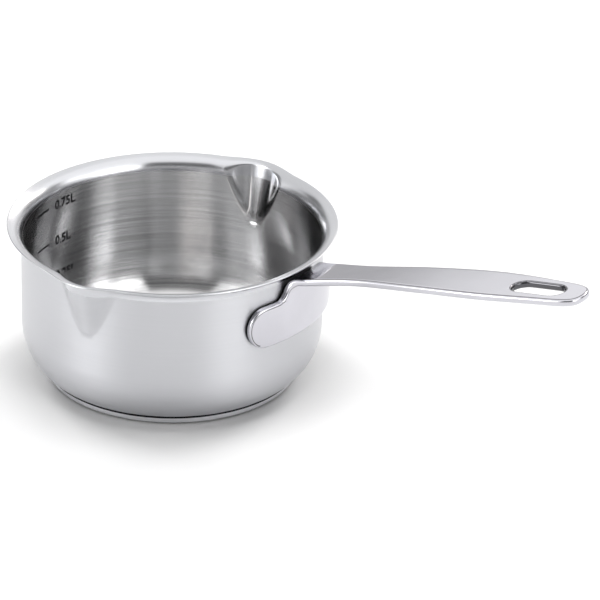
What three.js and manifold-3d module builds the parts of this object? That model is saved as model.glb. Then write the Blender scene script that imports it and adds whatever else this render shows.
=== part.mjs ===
// A small pouring saucepan: a drawn steel body with a flared lip and two pouring
// spouts, a sandwich base (aluminium core under a steel cap) and a flat steel
// handle, folded from one T-shaped blank and spot-welded to the wall.
// Millimetres, +Z up. The origin is the centre of the base's underside. The
// handle points along +X, so the spouts lie on the Y axis.

import * as THREE from "three";
import { mergeVertices } from "three/addons/utils/BufferGeometryUtils.js";
import { TessellateModifier } from "three/addons/modifiers/TessellateModifier.js";
import Module from "manifold-3d";

const wasm = await Module();
wasm.setup();

const DEG = Math.PI / 180;

// Fits between neighbouring pieces
const FIT_GAP = 0.3;

// Thickness of the sandwich base
const CAP_SHEET = 0.6;
const CORE_THICK = 2.5;

// Pan body
const INNER_RADIUS = 66.5;
const SHEET = 0.7;
const OUTER_RADIUS = INNER_RADIUS + SHEET;
const BODY_BOTTOM = CAP_SHEET + CORE_THICK;
const CORNER_TOP = 26.5;
const CORNER_REACH = 15.4;
const BODY_FLAT_RADIUS = OUTER_RADIUS - CORNER_REACH;
const RIM_HEIGHT = 72.1;
const LIP_RADIUS = 6.0;
const LIP_TURN = 75 * DEG;
const LIP_FLAT = 2.2;
const LIP_REACH = LIP_RADIUS * (1 - Math.cos(LIP_TURN)) + LIP_FLAT * Math.sin(LIP_TURN);

// Base cap, a little wider than the flat of the body's underside
const CAP_OVERHANG = 1.7;
const CAP_FLAT_RADIUS = BODY_FLAT_RADIUS + CAP_OVERHANG;
const CAP_CORNER = 3.4;
const CAP_TURN = 72 * DEG;
const CAP_SIDE = 1.9;

// Pouring spouts, pressed out of the wall as two shallow cones that narrow the
// lip and swell its edge
const SPOUT_BOTTOM = 44.5;
const SPOUT_PUSH = 7.0;
const SPOUT_HALF_WIDTH = 15.6;
const SPOUT_ROUNDING = 0.63;
const SPOUT_BLEND = 1.5;
const SPOUT_SWELL = 3.3;
const SPOUT_SWELL_HALF = 19.0;

// Handle blank: flange, neck and bar of one flat sheet
const HANDLE_THICK = 3.2;
const HANDLE_EDGE = 1.0;
const FLANGE_BOTTOM = 38.6;
const FLANGE_RISE = 19.4;
const FLANGE_HALF = 33.6;
const FLANGE_CORNER = 9.0;
const NECK_FILLET_START = 17.1;
const BAR_LENGTH = 138.9;
const BAR_HALF_NEAR = 10.9;
const BAR_HALF_WAIST = 9.0;
const BAR_HALF_BELLY = 12.95;
const BAR_HALF_END = 10.35;
const SLOT_FROM_TIP = 22.75;
const SLOT_HALF_LENGTH = 12.25;
const SLOT_HALF_WIDTH = 5.5;

// Handle folding
const FLANGE_RADIUS = OUTER_RADIUS + FIT_GAP + HANDLE_THICK / 2;
const BEND_HEIGHT = 61.35;
const BEND_RADIUS = 5.0;
const BAR_SLOPE_NEAR = 14.45 * DEG;
const BAR_SLOPE_END = 7.8 * DEG;

// Spot welds
const WELD_RADIUS = 2.5;
const WELD_DEPTH = 1.2;
const WELD_SPREAD = (2 / 3) * FLANGE_HALF;
const WELD_COLUMNS = [-WELD_SPREAD, 0, WELD_SPREAD];
const WELD_ROWS = [FLANGE_BOTTOM + 0.25 * FLANGE_RISE, FLANGE_BOTTOM + 0.7 * FLANGE_RISE];

// Facets
const RIM_STEPS = 80;
const DISC_STEPS = 72;
const SPLIT_EDGE = 9.5;
const BEND_STRETCH = 20.0;

function bareMetal(color, roughness) {
  return new THREE.MeshStandardMaterial({ color, roughness, metalness: 1.0 });
}

const polishedSteel = bareMetal(0xc9c9cc, 0.28);
const handleSteel = bareMetal(0xbfbfc4, 0.25);
const capSteel = bareMetal(0xb9bcc2, 0.35);
const coreAluminium = bareMetal(0xd6d8da, 0.5);
const weldSteel = bareMetal(0x9a9aa0, 0.6);

const group = new THREE.Group();
group.name = "saucepan";

function addMesh(name, geometry, material) {
  const mesh = new THREE.Mesh(geometry, material);
  mesh.name = name;
  group.add(mesh);
  return mesh;
}

function clamp01(value) {
  return Math.min(Math.max(value, 0), 1);
}

function smoothMax(a, b, blend) {
  const overlap = Math.max(blend - Math.abs(a - b), 0) / blend;
  return Math.max(a, b) + (overlap * overlap * blend) / 4;
}

// Spins a closed (radius, height) outline about Z.
function turned(outline, steps) {
  const geometry = new THREE.LatheGeometry(outline, steps);
  geometry.rotateX(Math.PI / 2);
  return geometry;
}

// The solid that a closed triangle mesh bounds, for joining and cutting.
function solidOf(geometry) {
  const bare = geometry.clone();
  bare.deleteAttribute("normal");
  bare.deleteAttribute("uv");
  const welded = mergeVertices(bare, 1e-4);
  const mesh = new wasm.Mesh({
    numProp: 3,
    vertProperties: new Float32Array(welded.attributes.position.array),
    triVerts: new Uint32Array(welded.index.array),
  });
  return new wasm.Manifold(mesh);
}

function geometryOf(solid) {
  const mesh = solid.getMesh();
  const geometry = new THREE.BufferGeometry();
  geometry.setAttribute("position", new THREE.BufferAttribute(mesh.vertProperties, 3));
  geometry.setIndex(new THREE.BufferAttribute(mesh.triVerts, 1));
  return geometry;
}

// Pan body: one face of the sheet from the floor to the lip. `skin` is 0 on the
// inside face and SHEET on the outside face, and `lip` grows from 0 on the wall
// to 1 at the lip's edge.
function bodyFace(skin) {
  const points = [];
  const cornerWidth = CORNER_REACH - SHEET + skin;
  const cornerDrop = CORNER_TOP - BODY_BOTTOM - SHEET + skin;
  for (let i = 0; i <= 7; i += 1) {
    const turn = (i / 7) * 90 * DEG;
    const radius = BODY_FLAT_RADIUS + cornerWidth * Math.sin(turn);
    points.push({ radius, height: CORNER_TOP - cornerDrop * Math.cos(turn), skin, lip: 0 });
  }
  const lipStart = RIM_HEIGHT - LIP_RADIUS * Math.sin(LIP_TURN) - LIP_FLAT * Math.cos(LIP_TURN);
  const wallStart = SPOUT_BOTTOM - 2;
  for (let i = 0; i < 6; i += 1) {
    const height = wallStart + (i / 6) * (lipStart - wallStart);
    points.push({ radius: INNER_RADIUS + skin, height, skin, lip: 0 });
  }
  const arc = LIP_RADIUS - skin;
  for (let i = 0; i <= 5; i += 1) {
    const turn = (i / 5) * LIP_TURN;
    const radius = INNER_RADIUS + LIP_RADIUS - arc * Math.cos(turn);
    const lip = (LIP_RADIUS * (1 - Math.cos(turn))) / LIP_REACH;
    points.push({ radius, height: lipStart + arc * Math.sin(turn), skin, lip });
  }
  const last = points[points.length - 1];
  points.push({
    radius: last.radius + LIP_FLAT * Math.sin(LIP_TURN),
    height: last.height + LIP_FLAT * Math.cos(LIP_TURN),
    skin,
    lip: 1,
  });
  return points;
}

function bodyOutline() {
  const inside = bodyFace(0);
  const outside = bodyFace(SHEET);
  const a = inside[inside.length - 1];
  const b = outside[outside.length - 1];
  const edge = {
    radius: (a.radius + b.radius) / 2 + (SHEET / 2) * Math.sin(LIP_TURN),
    height: (a.height + b.height) / 2 + (SHEET / 2) * Math.cos(LIP_TURN),
    skin: SHEET / 2,
    lip: 1,
  };
  const floor = { radius: 0, height: inside[0].height, skin: 0, lip: 0 };
  const underside = { radius: 0, height: outside[0].height, skin: SHEET, lip: 0 };
  return [underside, ...outside, edge, ...inside.reverse(), floor];
}

// The radius to which a spout's cone presses the wall, at an arc distance from
// the spout's middle line. It is 0 below the cone.
function spoutRadius(skin, arc, height) {
  const rise = (height - SPOUT_BOTTOM) / (RIM_HEIGHT - SPOUT_BOTTOM);
  if (rise <= 0) {
    return 0;
  }
  const across = arc / (SPOUT_HALF_WIDTH * rise ** SPOUT_ROUNDING);
  return INNER_RADIUS + skin + SPOUT_PUSH * rise * (1 - across * across);
}

// How far the lip's edge swells outwards near a spout, as a share of the most.
function spoutSwell(arc) {
  const near = Math.max(1 - (arc / SPOUT_SWELL_HALF) ** 2, 0);
  return near * near;
}

function panBody() {
  const outline = bodyOutline();
  const geometry = turned(outline.map((p) => new THREE.Vector2(p.radius, p.height)), RIM_STEPS);
  const position = geometry.attributes.position;
  for (let i = 0; i < position.count; i += 1) {
    const { radius, height, skin, lip } = outline[i % outline.length];
    const step = Math.floor(i / outline.length) % RIM_STEPS;
    const even = (step / RIM_STEPS) * 2 * Math.PI;
    // The facets are bunched towards the spouts, which need them most.
    const angle = even - 0.3 * Math.sin(2 * even);
    const arc = OUTER_RADIUS * Math.asin(Math.sin(angle));
    const pressed = spoutRadius(skin, arc, height);
    const swollen = radius + SPOUT_SWELL * lip * spoutSwell(arc);
    const reach = radius > 0 ? smoothMax(swollen, pressed, SPOUT_BLEND) : 0;
    position.setXYZ(i, reach * Math.sin(angle), -reach * Math.cos(angle), height);
  }
  return geometry;
}

addMesh("pan_body", panBody(), polishedSteel);

// A point of the arcs round the cap's lower corner.
function capArc(arc, turn) {
  return new THREE.Vector2(CAP_FLAT_RADIUS + arc * Math.sin(turn), CAP_CORNER - arc * Math.cos(turn));
}

// Base cap: a shallow dish whose rounded side stops short of the body.
function capFace(skin) {
  const points = [new THREE.Vector2(0, skin)];
  const arc = CAP_CORNER - skin;
  for (let i = 0; i <= 5; i += 1) {
    points.push(capArc(arc, (i / 5) * CAP_TURN));
  }
  const last = points[points.length - 1];
  const side = new THREE.Vector2(Math.cos(CAP_TURN), Math.sin(CAP_TURN));
  points.push(last.clone().addScaledVector(side, CAP_SIDE));
  return points;
}

addMesh("base_cap", turned([...capFace(0), ...capFace(CAP_SHEET).reverse()], DISC_STEPS), capSteel);

// Aluminium core: fills the dish up to the flat of the body's underside.
function coreOutline() {
  const points = [new THREE.Vector2(0, CAP_SHEET), new THREE.Vector2(CAP_FLAT_RADIUS - 1, CAP_SHEET)];
  const arc = CAP_CORNER - CAP_SHEET - FIT_GAP;
  for (let turn = 35 * DEG; turn < 80 * DEG; turn += 15 * DEG) {
    points.push(capArc(arc, turn));
  }
  const last = points[points.length - 1];
  points.push(new THREE.Vector2(last.x, BODY_BOTTOM));
  points.push(new THREE.Vector2(0, BODY_BOTTOM));
  return points;
}

addMesh("core_disc", turned(coreOutline(), DISC_STEPS), coreAluminium);

// Handle blank, drawn flat: x runs across the handle and y along it from the
// flange's lower edge.
const bendStart = BEND_HEIGHT - FLANGE_BOTTOM;
const bendTurn = 90 * DEG - BAR_SLOPE_NEAR;
const bendLength = BEND_RADIUS * bendTurn;
const barStart = bendStart + bendLength;

function blankSide(sign) {
  const path = new THREE.Path();
  path.moveTo(0, 0);
  path.lineTo(sign * (FLANGE_HALF - FLANGE_CORNER), 0);
  path.bezierCurveTo(
    sign * (FLANGE_HALF - FLANGE_CORNER * 0.4), 0,
    sign * FLANGE_HALF, FLANGE_CORNER * 0.5,
    sign * FLANGE_HALF, FLANGE_RISE / 2,
  );
  path.bezierCurveTo(
    sign * FLANGE_HALF, FLANGE_RISE - FLANGE_CORNER * 0.5,
    sign * (FLANGE_HALF - FLANGE_CORNER * 0.4), FLANGE_RISE,
    sign * (FLANGE_HALF - FLANGE_CORNER), FLANGE_RISE,
  );
  path.lineTo(sign * NECK_FILLET_START, FLANGE_RISE);
  path.bezierCurveTo(
    sign * (BAR_HALF_NEAR + 4), FLANGE_RISE + 0.6,
    sign * (BAR_HALF_NEAR + 0.4), bendStart + 1.5,
    sign * BAR_HALF_NEAR, barStart + 2,
  );
  path.splineThru([
    new THREE.Vector2(sign * BAR_HALF_WAIST, barStart + BAR_LENGTH * 0.2),
    new THREE.Vector2(sign * (BAR_HALF_WAIST + BAR_HALF_BELLY) * 0.525, barStart + BAR_LENGTH * 0.42),
    new THREE.Vector2(sign * BAR_HALF_BELLY, barStart + BAR_LENGTH * 0.67),
    new THREE.Vector2(sign * BAR_HALF_END, barStart + BAR_LENGTH * 0.9),
  ]);
  path.bezierCurveTo(
    sign * (BAR_HALF_END - 0.9), barStart + BAR_LENGTH * 0.97,
    sign * BAR_HALF_END * 0.78, barStart + BAR_LENGTH,
    0, barStart + BAR_LENGTH,
  );
  return path.getPoints(5);
}

function slotHole() {
  const hole = new THREE.Path();
  const middle = barStart + BAR_LENGTH - SLOT_FROM_TIP;
  const straight = SLOT_HALF_LENGTH - SLOT_HALF_WIDTH;
  hole.absarc(0, middle + straight, SLOT_HALF_WIDTH, 0, Math.PI);
  hole.absarc(0, middle - straight, SLOT_HALF_WIDTH, Math.PI, 2 * Math.PI);
  hole.closePath();
  return hole;
}

function handleBlank() {
  const right = blankSide(1);
  const left = blankSide(-1).reverse();
  const shape = new THREE.Shape([...right, ...left.slice(1, -1)]);
  shape.holes.push(slotHole());
  const blank = new THREE.ExtrudeGeometry(shape, {
    depth: HANDLE_THICK - 2 * HANDLE_EDGE,
    bevelSize: HANDLE_EDGE,
    bevelOffset: -HANDLE_EDGE,
    bevelThickness: HANDLE_EDGE,
    bevelSegments: 2,
    curveSegments: 10,
  });
  blank.translate(0, 0, HANDLE_EDGE - HANDLE_THICK / 2);
  blank.deleteAttribute("normal");
  blank.deleteAttribute("uv");
  return blank;
}

// The folded blank's middle line in the XZ plane, with its direction.
function foldLine(along) {
  if (along <= bendStart) {
    return { x: FLANGE_RADIUS, z: FLANGE_BOTTOM + along, turn: 0 };
  }
  const turn = Math.min((along - bendStart) / BEND_RADIUS, bendTurn);
  const x = FLANGE_RADIUS + BEND_RADIUS * (1 - Math.cos(turn));
  const z = BEND_HEIGHT + BEND_RADIUS * Math.sin(turn);
  if (along <= barStart) {
    return { x, z, turn };
  }
  const fall = (BAR_SLOPE_NEAR - BAR_SLOPE_END) / BAR_LENGTH;
  const slope = BAR_SLOPE_NEAR - fall * (along - barStart);
  return {
    x: x + (Math.sin(BAR_SLOPE_NEAR) - Math.sin(slope)) / fall,
    z: z + (Math.cos(slope) - Math.cos(BAR_SLOPE_NEAR)) / fall,
    turn: 90 * DEG - slope,
  };
}

// Wraps the flange round the wall and flattens it out through the bend.
function fold(across, along, depth) {
  const line = foldLine(along);
  const flat = clamp01((along - bendStart) / (1.5 * bendLength));
  const radius = FLANGE_RADIUS / Math.max(1 - flat * flat * (3 - 2 * flat), 1e-3);
  const swing = across / radius;
  const out = depth * Math.cos(swing) - 2 * radius * Math.sin(swing / 2) ** 2;
  return [
    line.x + out * Math.cos(line.turn),
    (radius + depth) * Math.sin(swing),
    line.z - out * Math.sin(line.turn),
  ];
}

// The bend is drawn out long while the faces are split, so that it gets more
// of the short edges than the flat stretches do.
function handleGeometry() {
  const blank = handleBlank();
  const flat = blank.attributes.position;
  for (let i = 0; i < flat.count; i += 1) {
    const y = flat.getY(i);
    flat.setY(i, y + BEND_STRETCH * clamp01((y - bendStart) / bendLength));
  }
  const split = new TessellateModifier(SPLIT_EDGE, 12).modify(blank);
  const position = split.attributes.position;
  for (let i = 0; i < position.count; i += 1) {
    const y = position.getY(i);
    const along = y - BEND_STRETCH * clamp01((y - bendStart) / (bendLength + BEND_STRETCH));
    position.setXYZ(i, ...fold(position.getX(i), along, position.getZ(i)));
  }
  return split;
}

// Weld nuggets stand in shallow pockets in the back of the flange.
function weldPin(radius, start, end, column, row) {
  const pin = new THREE.CylinderGeometry(radius, radius, end - start, 20);
  const swing = column / FLANGE_RADIUS;
  const middle = (start + end) / 2;
  pin.rotateZ(swing - 90 * DEG);
  pin.translate(middle * Math.cos(swing), middle * Math.sin(swing), row);
  return pin;
}

const weldStart = OUTER_RADIUS + FIT_GAP;
const weldEnd = weldStart + WELD_DEPTH;
let handleSolid = solidOf(handleGeometry());
let weldNumber = 0;
for (const row of WELD_ROWS) {
  for (const column of WELD_COLUMNS) {
    weldNumber += 1;
    const pocket = weldPin(WELD_RADIUS + FIT_GAP, OUTER_RADIUS, weldEnd + FIT_GAP, column, row);
    handleSolid = handleSolid.subtract(solidOf(pocket));
    const nugget = weldPin(WELD_RADIUS, weldStart, weldEnd, column, row);
    addMesh(`weld_nugget_${weldNumber}`, nugget, weldSteel);
  }
}

addMesh("handle", geometryOf(handleSolid), handleSteel);

export default group;
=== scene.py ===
"""Looks of a small pouring saucepan, laid out as a Blender add-on and run as a script.

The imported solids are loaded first. The spun body, the base cap and the folded handle
are then made again as smooth pieces in the same place, with their finishes.
The litre marks and the studio stage are added last.
"""

import math
from functools import partial

import bmesh
import bpy
import numpy as np
from bpy.props import FloatProperty, FloatVectorProperty, IntProperty, PointerProperty
from mathutils import Matrix, Vector


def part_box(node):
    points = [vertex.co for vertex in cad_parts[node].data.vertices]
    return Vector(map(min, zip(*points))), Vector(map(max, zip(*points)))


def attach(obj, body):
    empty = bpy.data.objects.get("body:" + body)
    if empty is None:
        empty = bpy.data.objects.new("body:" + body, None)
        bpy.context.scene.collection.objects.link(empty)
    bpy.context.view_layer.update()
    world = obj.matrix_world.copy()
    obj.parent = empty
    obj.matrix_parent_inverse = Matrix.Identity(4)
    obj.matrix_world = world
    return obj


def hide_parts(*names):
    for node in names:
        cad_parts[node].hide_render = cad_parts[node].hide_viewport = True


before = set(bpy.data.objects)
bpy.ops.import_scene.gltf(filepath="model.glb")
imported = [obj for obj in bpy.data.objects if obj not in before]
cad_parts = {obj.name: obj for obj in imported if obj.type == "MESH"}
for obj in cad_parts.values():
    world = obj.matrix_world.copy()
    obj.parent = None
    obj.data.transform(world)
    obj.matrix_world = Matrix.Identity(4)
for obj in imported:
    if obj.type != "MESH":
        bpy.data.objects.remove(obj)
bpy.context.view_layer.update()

bl_info = {
    "name": "Pouring saucepan",
    "version": (1, 0, 0),
    "blender": (4, 5, 0),
    "location": "View3D > Sidebar > Saucepan",
    "description": "Builds a steel saucepan with two pouring spouts and its studio stage",
    "category": "Object",
}

BODY_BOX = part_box("pan_body")
RIM_HEIGHT = BODY_BOX[1][2]
MM = 0.001


def length(name, description, default):
    """A size in metres that a user may change."""
    return FloatProperty(
        name=name, description=description, default=default, unit="LENGTH", precision=5
    )


def turn(name, description, degrees):
    """An angle that a user may change, given here in degrees."""
    return FloatProperty(
        name=name, description=description, default=math.radians(degrees), unit="ROTATION"
    )


def tint(name, description, default):
    """A linear colour that a user may change."""
    return FloatVectorProperty(
        name=name, description=description, default=default, subtype="COLOR", min=0, max=1
    )


class PanSizes(bpy.types.PropertyGroup):
    """Sizes of the spun body, its spouts and the base cap."""

    inner_radius: length("Inner radius", "Radius of the wall's inside face", 66.5 * MM)
    sheet: length("Sheet", "Thickness of the body's sheet", 0.7 * MM)
    bottom: length("Bottom", "Height of the body's underside", 3.1 * MM)
    corner_top: length("Corner top", "Height where the rounded corner meets the wall", 26.5 * MM)
    corner_reach: length("Corner reach", "Width of the rounded corner", 15.4 * MM)
    rim_height: length("Rim height", "Height of the lip's upper edge", RIM_HEIGHT)
    lip_radius: length("Lip radius", "Inside radius of the flared lip", 6.0 * MM)
    lip_turn: turn("Lip turn", "How far the lip turns out of the wall", 75)
    lip_flat: length("Lip flat", "Straight stretch at the lip's end", 2.2 * MM)
    spout_bottom: length("Spout bottom", "Height of a spout's lowest point", 44.5 * MM)
    spout_push: length("Spout push", "How far a spout is pressed out at the rim", 7.0 * MM)
    spout_half: length("Spout half width", "Half of a spout's width at the rim", 15.6 * MM)
    spout_rounding: FloatProperty(
        name="Spout rounding", description="Below 1, a spout's foot is rounder", default=0.63
    )
    spout_blend: length("Spout blend", "How softly a spout runs into the wall", 1.5 * MM)
    lip_blend: length("Lip blend", "How softly a spout runs into the lip's edge", 4.0 * MM)
    swell: length("Lip swell", "How far a spout swells the lip's edge", 3.3 * MM)
    swell_half: length("Swell half width", "Half of the swollen edge's length", 19.0 * MM)
    brushed_top: length("Brushed top", "Height where the brushed inside ends", 65.9 * MM)
    steps: IntProperty(name="Steps", description="Faces round the pan", default=480, min=24)
    crowding: FloatProperty(
        name="Crowding", description="How much closer the faces lie at the spouts", default=0.28
    )
    cap_sheet: length("Cap sheet", "Thickness of the base cap", 0.6 * MM)
    cap_flat: length("Cap flat", "Radius of the cap's flat underside", 53.5 * MM)
    cap_corner: length("Cap corner", "Outside radius of the cap's corner", 3.4 * MM)
    cap_turn: turn("Cap turn", "How far the cap's side turns up", 72)
    cap_side: length("Cap side", "Straight stretch of the cap's side", 1.9 * MM)


class HandleSizes(bpy.types.PropertyGroup):
    """Sizes of the handle's flat blank and of its fold."""

    thick: length("Thickness", "Thickness of the handle's steel", 3.2 * MM)
    edge: length("Edge radius", "Radius of the rounded edges", 1.15 * MM)
    wall_gap: length("Wall gap", "Gap between the flange and the wall", 0.3 * MM)
    flange_bottom: length("Flange bottom", "Height of the flange's lower edge", 38.6 * MM)
    flange_rise: length("Flange rise", "Height of the flange", 19.4 * MM)
    flange_half: length("Flange half", "Half of the flange's length round the wall", 33.6 * MM)
    flange_corner: length("Flange corner", "Size of the flange's rounded corners", 9.0 * MM)
    neck_start: length("Neck start", "Where the neck's fillet leaves the flange", 17.1 * MM)
    bar_length: length("Bar length", "Length of the bar after the bend", 138.9 * MM)
    near_half: length("Near half width", "Half width of the bar at the bend", 10.9 * MM)
    waist_half: length("Waist half width", "Half width of the bar at its waist", 9.0 * MM)
    belly_half: length("Belly half width", "Half width of the bar at its widest", 12.95 * MM)
    end_half: length("End half width", "Half width of the bar near its tip", 10.35 * MM)
    slot_from_tip: length("Slot from tip", "Slot's middle to the bar's tip", 22.75 * MM)
    slot_half_length: length("Slot half length", "Half of the slot's length", 12.25 * MM)
    slot_half_width: length("Slot half width", "Half of the slot's width", 5.5 * MM)
    bend_height: length("Bend height", "Height where the bend starts", 61.35 * MM)
    bend_radius: length("Bend radius", "Radius of the bend's middle", 5.0 * MM)
    slope_near: turn("Near slope", "Rise of the bar at the bend", 14.45)
    slope_end: turn("End slope", "Rise of the bar at its tip", 7.8)


class MarkSizes(bpy.types.PropertyGroup):
    """Sizes and places of the litre marks inside the wall."""

    lowest: length("Lowest", "Height of the quarter-litre mark", 25.2 * MM)
    spacing: length("Spacing", "Height between two marks", 17.7 * MM)
    tick_start: turn("Tick start", "Angle where a tick line starts", 189.5)
    tick_end: turn("Tick end", "Angle where a tick line ends", 180.5)
    tick_height: length("Tick height", "Height of a tick line", 0.95 * MM)
    text_start: turn("Text start", "Angle where a number starts", 176.5)
    text_height: length("Text height", "Height of a number", 4.6 * MM)
    text_unit: length("Text unit", "Length along the wall of one font unit", 5.89544 * MM)
    proud: length("Proud", "How far a mark stands off the wall", 0.03 * MM)


class Finishes(bpy.types.PropertyGroup):
    """Colours of the metals and of the marks."""

    outside: tint("Outside", "Satin steel of the body's outside", (0.625, 0.63, 0.655))
    inside: tint("Inside", "Brushed steel of the body's inside", (0.645, 0.645, 0.65))
    handle: tint("Handle", "Polished steel of the handle", (0.585, 0.58, 0.62))
    cap: tint("Cap", "Steel of the base cap", (0.94, 0.94, 0.97))
    core: tint("Core", "Aluminium of the core", (0.80, 0.81, 0.82))
    weld: tint("Weld", "Welded steel", (0.42, 0.42, 0.44))
    mark: tint("Mark", "Etched litre marks", (0.012, 0.012, 0.013))
    floor: tint("Floor", "Studio floor", (0.92, 0.92, 0.92))


class StageSettings(bpy.types.PropertyGroup):
    """The camera's lens, place and aim."""

    lens: FloatProperty(name="Lens", description="Focal length in mm", default=300.0)
    distance: length("Distance", "Camera to its aim", 2.2332)
    azimuth: turn("Azimuth", "Camera to the handle's side of the pan's front", 32)
    elevation: turn("Elevation", "Camera above the floor", 26.563)
    roll: turn("Roll", "Camera's turn about its own axis", 0.9247)
    aim_side: length("Aim side", "Camera's aim to the right of the pan's axis", 57.04 * MM)
    aim_height: length("Aim height", "Height of the camera's aim", 34.34 * MM)


def settings(context):
    """The five groups of settings, in one fixed order."""
    scene = context.scene
    return scene.pan_sizes, scene.handle_sizes, scene.mark_sizes, scene.finishes, scene.stage_set


# Node helpers


def feed(tree, socket, value):
    """Links an output to a socket, or sets the socket's own value."""
    if isinstance(value, bpy.types.NodeSocket):
        tree.links.new(value, socket)
    else:
        socket.default_value = value


def feed_all(tree, node, inputs):
    """Feeds several named inputs of a node."""
    for key, value in inputs.items():
        feed(tree, node.inputs[key], value)


def add_node(tree, kind, inputs=None, **values):
    """Adds a node, sets its properties and feeds its inputs."""
    node = tree.nodes.new(kind)
    for name, value in values.items():
        setattr(node, name, value)
    feed_all(tree, node, inputs or {})
    return node


def calc(tree, operation, *values):
    """One step of arithmetic on numbers or outputs."""
    node = tree.nodes.new("ShaderNodeMath")
    node.operation = operation
    for i, value in enumerate(values):
        feed(tree, node.inputs[i], value)
    return node.outputs[0]


def ramp(tree, factor, stops):
    """A colour ramp of (place, grey) or (place, colour) stops."""
    node = tree.nodes.new("ShaderNodeValToRGB")
    feed(tree, node.inputs[0], factor)
    marks = node.color_ramp.elements
    while len(marks) < len(stops):
        marks.new(0.5)
    for mark, (place, colour) in zip(marks, stops):
        mark.position = place
        grey = (colour,) * 3 if isinstance(colour, float) else colour
        mark.color = (*grey, 1.0)
    return node.outputs["Color"]


def split(tree, vector):
    """A vector's X, Y and Z."""
    return add_node(tree, "ShaderNodeSeparateXYZ", {0: vector}).outputs


def combine(tree, x, y, z):
    """A vector of three numbers or outputs."""
    return add_node(tree, "ShaderNodeCombineXYZ", {"X": x, "Y": y, "Z": z}).outputs[0]


def soft_step(tree, value, low, high):
    """A smooth rise from 0 to 1 between two values."""
    node = add_node(
        tree,
        "ShaderNodeMapRange",
        {"Value": value, "From Min": low, "From Max": high},
        interpolation_type="SMOOTHSTEP",
    )
    return node.outputs[0]


def blend_values(tree, share, first, second):
    """A number between two others by a share."""
    node = add_node(
        tree, "ShaderNodeMapRange", {"Value": share, "To Min": first, "To Max": second}
    )
    return node.outputs[0]


def mix_colours(tree, share, first, second, kind):
    """Two colours mixed, multiplied or added by a share."""
    node = add_node(tree, "ShaderNodeMix", data_type="RGBA", blend_type=kind)
    feed(tree, node.inputs["Factor"], share)
    for socket, value in ((node.inputs[6], first), (node.inputs[7], second)):
        feed(tree, socket, (*value, 1.0) if isinstance(value, tuple) else value)
    return node.outputs[2]


def noise(tree, where, scale, detail):
    """Cloudy noise over a place."""
    inputs = {"Vector": where, "Scale": scale, "Detail": detail}
    return add_node(tree, "ShaderNodeTexNoise", inputs).outputs["Fac"]


def new_material(name):
    """An empty node material with its surface shader linked."""
    material = bpy.data.materials.new(name)
    material.use_nodes = True
    tree = material.node_tree
    return material, tree, tree.nodes["Principled BSDF"]


# Geometry node trees


# Largest skin that counts as the inside face, and least share of a spout's height
INSIDE_SKIN = 1e-5
LEAST_RISE = 1e-5
# Where the polish fades in: depth into a spout, and height past the end of the straight wall
CHANNEL_EDGE = (0.3 * MM, 0.9 * MM)
LIP_EDGE = (-0.3 * MM, 0.4 * MM)
# Points closer than this are joined
SEAM = 1e-6
# Points along one tick line
TICK_POINTS = 17
SPUN_INPUTS = (
    ("Object", ("Outline",)),
    ("Int", ("Steps",)),
    ("Float", ("Inner Radius", "Outer Radius", "Rim Height", "Brushed Top")),
    ("Float", ("Spout Bottom", "Spout Push", "Spout Half Width", "Spout Rounding")),
    ("Float", ("Spout Blend", "Spout Lip Blend", "Lip Swell", "Lip Swell Half Width")),
    ("Float", ("Lip Start", "Crowding")),
    ("Material", ("Outside", "Inside")),
)
TICK_INPUTS = (
    ("Int", ("Count",)),
    ("Float", ("Lowest", "Spacing", "Start", "End", "Height", "Radius", "Proud")),
    ("Material", ("Ink",)),
)


def start_tree(name, inputs):
    """An empty tree with named inputs, their identifiers and their outputs inside it."""
    tree = bpy.data.node_groups.new(name, "GeometryNodeTree")
    ids = {}
    for kind, labels in inputs:
        for label in labels:
            socket = tree.interface.new_socket(
                name=label, in_out="INPUT", socket_type="NodeSocket" + kind
            )
            ids[label] = socket.identifier
    tree.interface.new_socket(name="Mesh", in_out="OUTPUT", socket_type="NodeSocketGeometry")
    return tree, ids, tree.nodes.new("NodeGroupInput").outputs


def end_tree(tree, mesh):
    """Gives a mesh out of a tree."""
    tree.links.new(mesh, tree.nodes.new("NodeGroupOutput").inputs[0])


def mesh_step(tree, kind, mesh, inputs=None, **values):
    """The first output of one geometry step on a mesh."""
    fed = {"Geometry": mesh, **(inputs or {})}
    return add_node(tree, "GeometryNode" + kind, fed, **values).outputs[0]


def named(tree, name):
    """A number stored on a mesh under a name, read inside a tree."""
    node = add_node(tree, "GeometryNodeInputNamedAttribute", {"Name": name}, data_type="FLOAT")
    return node.outputs[0]


def store(tree, mesh, name, value):
    """A mesh with a number stored on its points under a name."""
    inputs = {"Name": name, "Value": value}
    return mesh_step(
        tree, "StoreNamedAttribute", mesh, inputs, data_type="FLOAT", domain="POINT"
    )


def round_axis(tree, reach, angle, height):
    """A place at a reach and an angle from the pan's axis."""
    x = calc(tree, "MULTIPLY", reach, calc(tree, "COSINE", angle))
    y = calc(tree, "MULTIPLY", reach, calc(tree, "SINE", angle))
    return combine(tree, x, y, height)


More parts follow.
